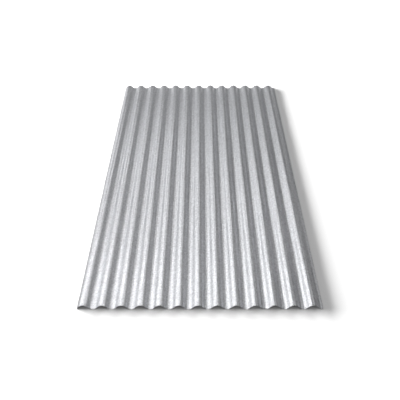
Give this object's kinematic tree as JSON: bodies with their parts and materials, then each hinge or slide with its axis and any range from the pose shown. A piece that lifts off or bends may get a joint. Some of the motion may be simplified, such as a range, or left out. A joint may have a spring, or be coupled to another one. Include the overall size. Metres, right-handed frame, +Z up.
{
  "type": "corrugated metal sheet",
  "caption": "Corrugated sheet of galvanised steel with round corrugations along its whole length, for roofs, walls and fences.",
  "frame": {"origin": "on the level floor that the sheet lies on, below the middle of its box, so z = 0 is the underside of the troughs", "axes": "+Y along the corrugations, +X across them from the overlap edge to the underlap edge, +Z up, out of the upper face"},
  "size_m": [0.9784, 2, 0.0198],
  "materials": {
    "galvanised_steel": "hot-dip galvanised, satin, fine spangle"
  },
  "bodies": {
    "root": {"corrugated_sheet": "galvanised_steel"}
  },
  "joints": []
}
